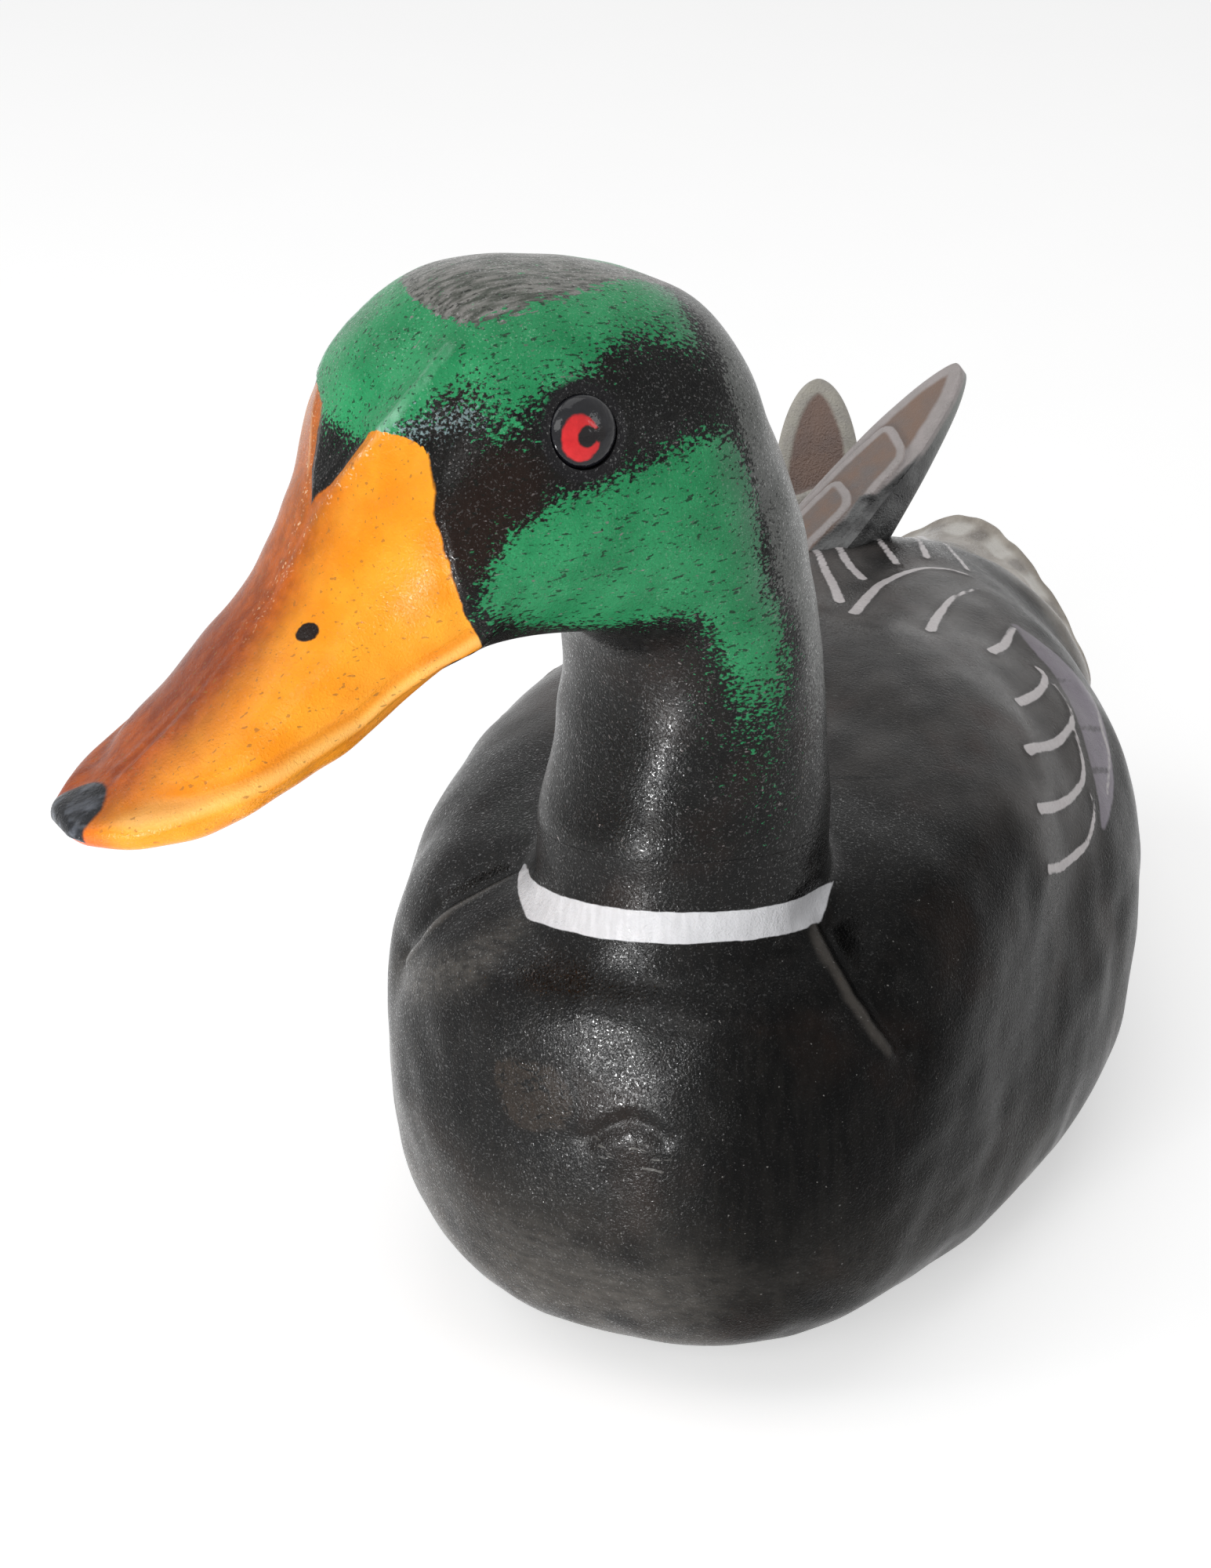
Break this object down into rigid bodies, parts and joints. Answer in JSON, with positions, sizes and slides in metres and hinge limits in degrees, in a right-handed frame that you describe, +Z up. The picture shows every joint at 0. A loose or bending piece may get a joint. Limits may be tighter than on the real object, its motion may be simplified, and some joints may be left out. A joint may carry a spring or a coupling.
{
  "type": "duck decoy",
  "caption": "Carved wooden drake decoy that floats upright: turned head, crossed wing tips, fan tail, and a flat underside with recessed ballast and a swinging line ring.",
  "frame": {"origin": "centre of the flat underside, in the duck's middle plane", "axes": "-Y is the way the body points, +X is the duck's left side, +Z is up"},
  "size_m": [0.1604, 0.334, 0.2335],
  "materials": {
    "black_lacquered_wood": "hand-painted, glossy lacquer",
    "green_lacquered_wood": "hand-painted, glossy lacquer",
    "grey_lacquered_wood": "hand-painted, satin lacquer",
    "bare_wood": "turned, unfinished",
    "sealed_dark_wood": "sealed, matte",
    "red_glass": "polished",
    "cast_lead": "cast lead, dull",
    "zinc_steel": "zinc plated",
    "brass_wire": "drawn wire, slightly dull"
  },
  "bodies": {
    "decoy": {"body": "black_lacquered_wood", "head_and_neck": "green_lacquered_wood", "neck_dowel": "bare_wood", "left_eye": "red_glass", "right_eye": "red_glass", "left_wing_tip": "grey_lacquered_wood", "right_wing_tip": "grey_lacquered_wood", "bottom_board": "sealed_dark_wood", "ballast_pad": "cast_lead", "pad_screw_1": "zinc_steel", "pad_screw_2": "zinc_steel", "board_screw_1": "zinc_steel", "board_screw_2": "zinc_steel", "board_screw_3": "zinc_steel", "board_screw_4": "zinc_steel", "board_screw_5": "zinc_steel", "board_screw_6": "zinc_steel", "line_eye": "zinc_steel"},
    "line_ring": {"line_ring": "brass_wire"}
  },
  "joints": [
    {"name": "ring_swing", "type": "hinge", "parent": "decoy", "child": "line_ring", "pos_m": [0, -0.07, 0.019], "axis": [1, 0, 0], "range_deg": [-45, 45]}
  ]
}
